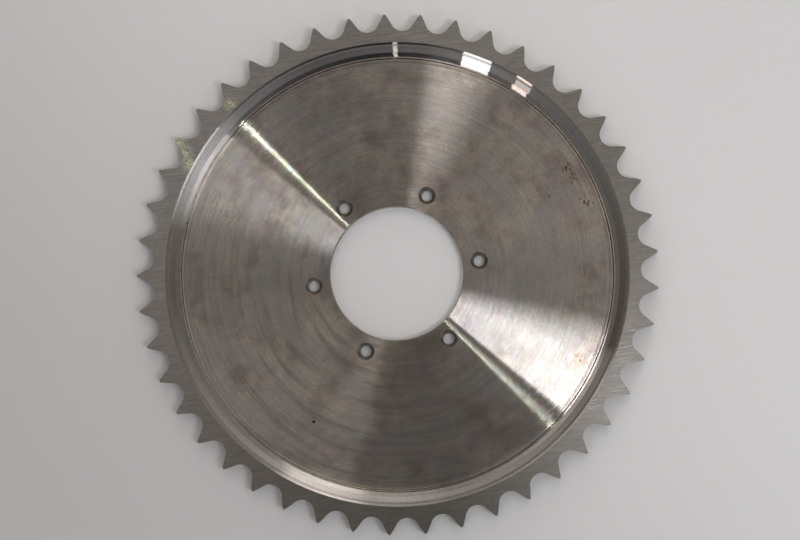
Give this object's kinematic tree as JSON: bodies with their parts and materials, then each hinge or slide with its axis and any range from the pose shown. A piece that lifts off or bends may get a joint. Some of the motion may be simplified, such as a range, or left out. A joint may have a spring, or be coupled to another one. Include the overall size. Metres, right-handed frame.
{
  "type": "chain sprocket",
  "caption": "Large flat chain wheel of bare turned steel: pointed roller-chain teeth on a thick rim, a wide shallow recess in the front, a central bore and a ring of tapped screw holes.",
  "frame": {"origin": "centre of the bore on the flat back face, which the sprocket rests on", "axes": "+Z along the bore, out of the recessed front; +X through the middle of one tooth gap and through one screw hole"},
  "size_m": [0.2328, 0.233, 0.0091],
  "materials": {
    "steel": "bare turned steel, fine concentric tool marks, light handling stains"
  },
  "bodies": {
    "root": {"sprocket": "steel"}
  },
  "joints": []
}
